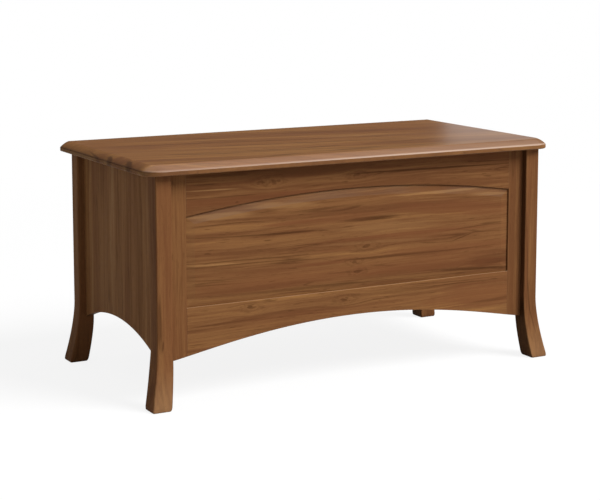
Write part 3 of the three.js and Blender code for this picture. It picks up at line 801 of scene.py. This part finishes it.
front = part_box("front_top_rail")[0].y
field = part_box("front_panel")[0].y
post_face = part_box("post_front_left")[0].y + FOOT_FLARE

# Flush joints wear less at their arrises than free arrises do
FLUSH = {"pale_arris": 0.15, "arris_shine": 0.2}
STILE = {"contrast": 1.8, "lines": 0.3, "face_depth": FLAT_ON_FRONT, **FLUSH}
POST = {"contrast": 1.6, "lines": 0.3}

dress(walnut(
    "walnut lid", GRAIN_X, 1, contrast=2.1, broad=0.9, colours=(LID_BROWN, LID_MIDDLE, LID_LIGHT),
    end_colour=LID_END, marks=LID_MARKS, face=LID_TOP, on_top=True, lean=LID_LEAN,
    face_depth=FLAT_ON_TOP, painted_light_end_bevels=0.35, edges=lid_edges, arris_shine=1.0, shine=LID_SHINE,
    shine_roughness=LID_SHINE_ROUGHNESS), "lid_board")
# The top rail's tone of -0.22 darkens it all over: partly its own wood, partly painted shade from the
# lid above
dress(walnut(
    "walnut top rail", GRAIN_X, 2, tone=-0.22, marks=TOP_RAIL_MARKS, knots=TOP_RAIL_KNOTS,
    face=front, face_depth=FLAT_ON_FRONT, **FLUSH), "front_top_rail")
dress(walnut(
    "walnut bottom rail", GRAIN_X, 3, tone=-0.06, marks=BOTTOM_RAIL_MARKS, knots=BOTTOM_RAIL_KNOTS,
    face=front, face_depth=FLAT_ON_FRONT, touches=(painted_light_ledge,), **FLUSH), "front_bottom_rail")
dress(walnut(
    "walnut raised panel", GRAIN_X, 4, tone=-0.11, contrast=1.85, marks=PANEL_MARKS,
    knots=PANEL_KNOTS, face=field, face_depth=FLAT_ON_FRONT, touches=(panel_painted_sheen,)), "front_panel")
dress(walnut("walnut left stile", GRAIN_Z, 5, tone=-0.13, **STILE), "front_stile_left")
dress(walnut("walnut right stile", GRAIN_Z, 6, tone=-0.24, **STILE), "front_stile_right")
dress(walnut(
    "walnut front left post", GRAIN_Z, 7, tone=-0.14, marks=LEFT_POST_MARKS, face=post_face,
    touches=(painted_light_foot(0.30), painted_shade_inside(1)), **POST), "post_front_left")
dress(walnut(
    "walnut front right post", GRAIN_Z, 8, tone=-0.12, marks=RIGHT_POST_MARKS, face=post_face,
    touches=(painted_light_foot(0.24), painted_shade_inside(-1)), **POST), "post_front_right")
dress(walnut(
    "walnut rear left post", GRAIN_Z, 9, tone=-0.10, touches=(painted_shade_inside(1),), **POST),
    "post_rear_left")
# The rear right post's tone of -0.25, darker than the other posts, is painted shade from the chest
# above it
dress(walnut(
    "walnut rear right post", GRAIN_Z, 10, tone=-0.25, touches=(painted_shade_inside(-1),), **POST),
    "post_rear_right")
dress(walnut(
    "walnut side boards", GRAIN_Z, 11, contrast=2.2, lines=0.4, boards=(1, 0.082),
    colours=(SIDE_BROWN, SIDE_MIDDLE, SIDE_LIGHT), face_depth=FLAT_ON_TOP),
    "side_board_left", "side_board_right")
dress(walnut("walnut back board", GRAIN_X, 12, boards=(2, 0.124)), "back_board")
dress(walnut("walnut inside", GRAIN_X, 13, tone=0.12, contrast=1.6, boards=(1, 0.118)), "bottom_board")
dress(walnut("walnut long cleats", GRAIN_X, 14, tone=0.1), "cleat_front", "cleat_back")
dress(walnut("walnut short cleats", GRAIN_Y, 15, tone=0.1), "cleat_left", "cleat_right")
hinge_brass = brass("brushed hinge brass")
for place in HINGE_PLACES:
    for part in ("case_leaf", "pin", "lid_leaf"):
        dress(hinge_brass, f"hinge_{place}_{part}")


def close_between(work, lower, upper):
    """Faces between two closed loops of as many vertices."""
    for i in range(len(lower)):
        j = (i + 1) % len(lower)
        work.faces.new((lower[i], lower[j], upper[j], upper[i]))


def screw(name, centre, turn, outward, body):
    """A slotted countersunk head set flush in a hinge leaf. outward is 1 if it faces up, -1 if down."""
    work = bmesh.new()
    flat = SCREW_RADIUS * SCREW_FLAT_SHARE
    rings = [(SCREW_RADIUS, 0.0), (SCREW_RADIUS, SCREW_PROUD / 2), (flat, SCREW_PROUD)]
    bend = math.asin(SCREW_SLOT_WIDTH / 2 / flat)
    angles = []
    for start in (bend, math.pi + bend):
        angles += [start + (math.pi - 2 * bend) * i / SCREW_SIDES for i in range(SCREW_SIDES + 1)]
    loops = []
    for radius, rise in rings:
        rim = [(radius * math.cos(angle), radius * math.sin(angle), rise) for angle in angles]
        loops.append([work.verts.new(point) for point in rim])
    for lower, upper in zip(loops, loops[1:]):
        close_between(work, lower, upper)
    top = loops[-1]
    count = SCREW_SIDES + 1
    work.faces.new(top[:count])
    work.faces.new(top[count:])
    corners = [top[0], top[count - 1], top[count], top[-1]]
    sunk = [work.verts.new(v.co - Vector((0, 0, SCREW_SLOT_DEPTH))) for v in corners]
    close_between(work, corners, sunk)
    work.faces.new(sunk)
    bmesh.ops.recalc_face_normals(work, faces=work.faces)
    mesh = bpy.data.meshes.new(name)
    work.to_mesh(mesh)
    work.free()
    made = bpy.data.objects.new(name, mesh)
    bpy.context.scene.collection.objects.link(made)
    spin = Matrix.Rotation(turn, 4, "Z")
    if outward < 0:
        spin = Matrix.Rotation(math.pi, 4, "X") @ spin
    mesh.transform(Matrix.Translation(centre) @ spin)
    mesh.materials.append(hinge_brass)
    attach(made, body)


def hinge_screws():
    """A row of screws in each leaf, the middle one a little out of their line."""
    turn = SCREW_FIRST_TURN
    axis = frame["joints"][0]["pos_m"][2]
    middle = (SCREWS_PER_LEAF - 1) / 2
    for place in HINGE_PLACES:
        for part, outward, body in (("case_leaf", 1, "case"), ("lid_leaf", -1, "lid")):
            low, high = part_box(f"hinge_{place}_{part}")
            face = axis - outward * SCREW_SEAT
            for i in range(SCREWS_PER_LEAF):
                share = (i - middle) / SCREWS_PER_LEAF
                x = (low.x + high.x) / 2 + share * (high.x - low.x) * SCREW_SPREAD
                y = low.y + SCREW_INSET + (SCREW_STAGGER if i == middle else 0.0)
                screw(f"screw_{place}_{part}_{i + 1}", Vector((x, y, face)), turn, outward, body)
                turn += SCREW_TURN_STEP


hinge_screws()


def grey(level):
    return [level] * 3 + [1.0]


def floor():
    """A floor that looks white but for the chest's shadow, and that lights the chest from below."""
    size = FLOOR_SIZE / 2
    corners = [(-size, -size, 0), (size, -size, 0), (size, size, 0), (-size, size, 0)]
    mesh = bpy.data.meshes.new("studio_floor")
    mesh.from_pydata(corners, [], [(0, 1, 2, 3)])
    made = bpy.data.objects.new("studio_floor", mesh)
    bpy.context.scene.collection.objects.link(made)
    material = bpy.data.materials.new("studio floor")
    material.use_nodes = True
    tree = material.node_tree
    tree.nodes.clear()
    graph = Graph(tree)
    pale = graph.add("ShaderNodeBsdfDiffuse", {"Color": grey(FLOOR_PALE)})
    shade = graph.add("ShaderNodeBsdfDiffuse", {"Color": grey(FLOOR_SHADE)})
    glow = graph.add("ShaderNodeEmission", {"Color": grey(FLOOR_GLOW), "Strength": 1.0})
    near = graph.add("ShaderNodeAddShader", {0: shade, 1: glow})
    white = graph.add("ShaderNodeEmission", {"Color": grey(1.0), "Strength": 1.0})
    away = graph.vector("LENGTH", graph.add("ShaderNodeTexCoord", output="Object"))
    shown = graph.add("ShaderNodeMixShader", {0: graph.range(away, *FLOOR_STEP), 1: near, 2: white})
    both = graph.add("ShaderNodeMixShader", {0: seen_background(graph), 1: pale, 2: shown})
    tree.links.new(both, tree.nodes.new("ShaderNodeOutputMaterial").inputs["Surface"])
    mesh.materials.append(material)


def seen_background(graph):
    """1 on the rays that see the background: the camera's, mirrored ones and those through glass."""
    path = graph.tree.nodes.new("ShaderNodeLightPath")
    seen = graph.math("MAXIMUM", path.outputs["Is Camera Ray"], path.outputs["Is Glossy Ray"])
    return graph.math("MAXIMUM", seen, path.outputs["Is Transmission Ray"])


def room():
    """White to the camera and dim to the chest. Its polish mirrors a backdrop and a light overhead."""
    world = bpy.data.worlds.new("studio room")
    bpy.context.scene.world = world
    world.use_nodes = True
    tree = world.node_tree
    tree.nodes.clear()
    graph = Graph(tree)
    path = tree.nodes.new("ShaderNodeLightPath")
    up = graph.split(graph.add("ShaderNodeTexCoord", output="Generated"))[2]
    backdrop = graph.range(up, *BACKDROP_STEP)
    overhead = graph.range(up, *OVERHEAD_STEP)
    shown = graph.math("MAXIMUM", graph.math("MAXIMUM", backdrop, overhead), ROOM_MIRRORED)
    mirrored = graph.math("MAXIMUM", path.outputs["Is Glossy Ray"], path.outputs["Is Transmission Ray"])
    plain = graph.times(graph.minus(1.0, mirrored), ROOM_LIGHT)
    strength = graph.plus(graph.times(mirrored, shown), plain)
    strength = graph.math("MAXIMUM", strength, path.outputs["Is Camera Ray"])
    back = graph.add("ShaderNodeBackground", {"Color": grey(1.0), "Strength": strength})
    tree.links.new(back, tree.nodes.new("ShaderNodeOutputWorld").inputs["Surface"])


def lamp(name, place, aim, size, power):
    """A soft lamp: a disk of one size, or a rectangle of two."""
    data = bpy.data.lights.new(name, "AREA")
    data.energy = power
    if isinstance(size, tuple):
        data.shape = "RECTANGLE"
        data.size, data.size_y = size
    else:
        data.shape = "DISK"
        data.size = size
    made = bpy.data.objects.new(name, data)
    bpy.context.scene.collection.objects.link(made)
    made.location = place
    made.rotation_euler = (Vector(place) - Vector(aim)).to_track_quat("Z", "Y").to_euler()
    made.visible_camera = False


def camera():
    scene = bpy.context.scene
    data = bpy.data.cameras.new("camera")
    data.lens = CAMERA_LENS
    data.sensor_width = CAMERA_SENSOR
    data.shift_x, data.shift_y = CAMERA_SHIFT
    data.clip_end = CAMERA_REACH
    made = bpy.data.objects.new("camera", data)
    scene.collection.objects.link(made)
    made.location = CAMERA_PLACE
    made.rotation_euler = (math.radians(90 - CAMERA_TILT), 0.0, -math.radians(CAMERA_TURN))
    scene.camera = made
    scene.view_settings.view_transform = "Standard"


floor()
room()
key_place = Vector(KEY_AIM) + Vector(KEY_DIRECTION).normalized() * KEY_DISTANCE
lamp("key_softbox", key_place, KEY_AIM, KEY_SIZE, KEY_POWER)
lamp("sheen_softbox", SHEEN_PLACE, SHEEN_AIM, SHEEN_SIZE, SHEEN_POWER)
camera()
